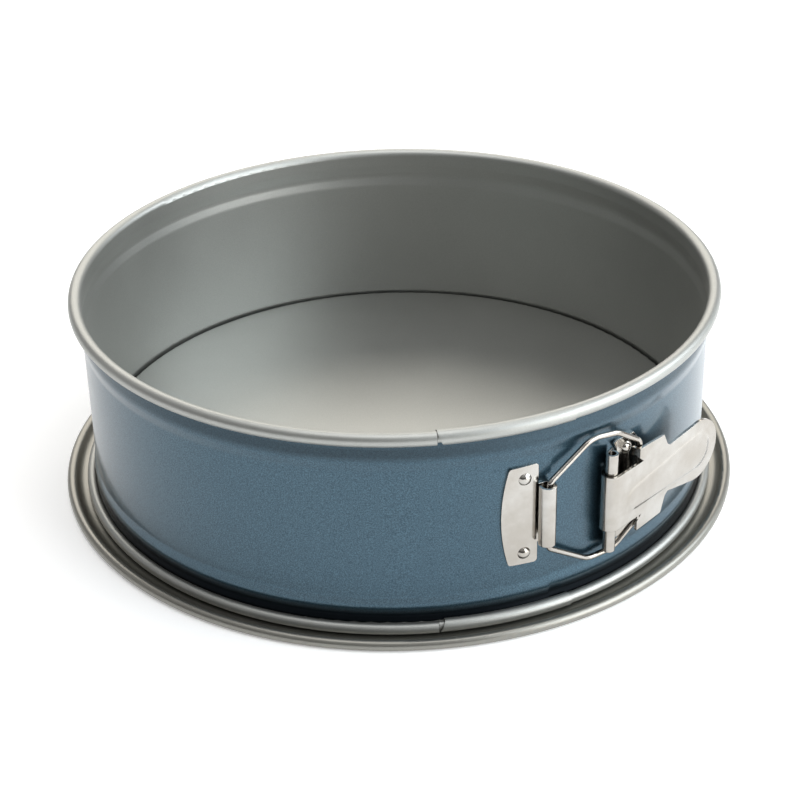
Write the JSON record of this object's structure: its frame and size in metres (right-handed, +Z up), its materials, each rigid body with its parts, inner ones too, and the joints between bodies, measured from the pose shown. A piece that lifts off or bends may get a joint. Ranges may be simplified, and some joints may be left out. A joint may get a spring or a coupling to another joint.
{
  "type": "springform pan",
  "caption": "Round cake pan with a lift-off side band, closed by a wire bail and an over-centre lever, on a raised base plate with a rolled drip rim.",
  "frame": {"origin": "centre of the base's underside, on the surface that the pan stands on", "axes": "+Z up out of the pan; the front of the pan faces -Y, and the latch is at the front right, about 55 degrees from +X towards -Y"},
  "size_m": [0.2542, 0.2542, 0.0789],
  "materials": {
    "nonstick_steel": "satin warm-grey non-stick coating on steel sheet",
    "blue_lacquer": "metallic blue lacquer outside, satin grey non-stick inside and on the rolled rims",
    "plated_latch": "bright nickel-plated pressed steel",
    "latch_wire": "bright plated spring wire",
    "plated_rivet": "bright plated steel"
  },
  "bodies": {
    "base": {"base_plate": "nonstick_steel"},
    "ring": {"spring_band": "blue_lacquer", "bail_bracket": "plated_latch", "lever_bracket": "plated_latch", "bail_rivet_upper": "plated_rivet", "bail_rivet_lower": "plated_rivet", "lever_rivet_upper": "plated_rivet", "lever_rivet_lower": "plated_rivet"},
    "latch_lever": {"lever": "plated_latch"},
    "bail": {"bail_wire": "latch_wire"}
  },
  "joints": [
    {"name": "ring_lift", "type": "slide", "parent": "base", "child": "ring", "axis": [0, 0, 1], "range_m": [0, 0.1]},
    {"name": "lever_swing", "type": "hinge", "parent": "ring", "child": "latch_lever", "pos_m": [0.07071, -0.09609, 0.0384], "axis": [0, 0, -1], "range_deg": [0, 125]},
    {"name": "bail_swing", "type": "hinge", "parent": "ring", "child": "bail", "pos_m": [0.04923, -0.10785, 0.0404], "axis": [0, 0, -1], "range_deg": [0, 41]}
  ],
  "couplings": [
    {"joint": "bail_swing", "follows": "lever_swing", "ratio": 0.32}
  ]
}
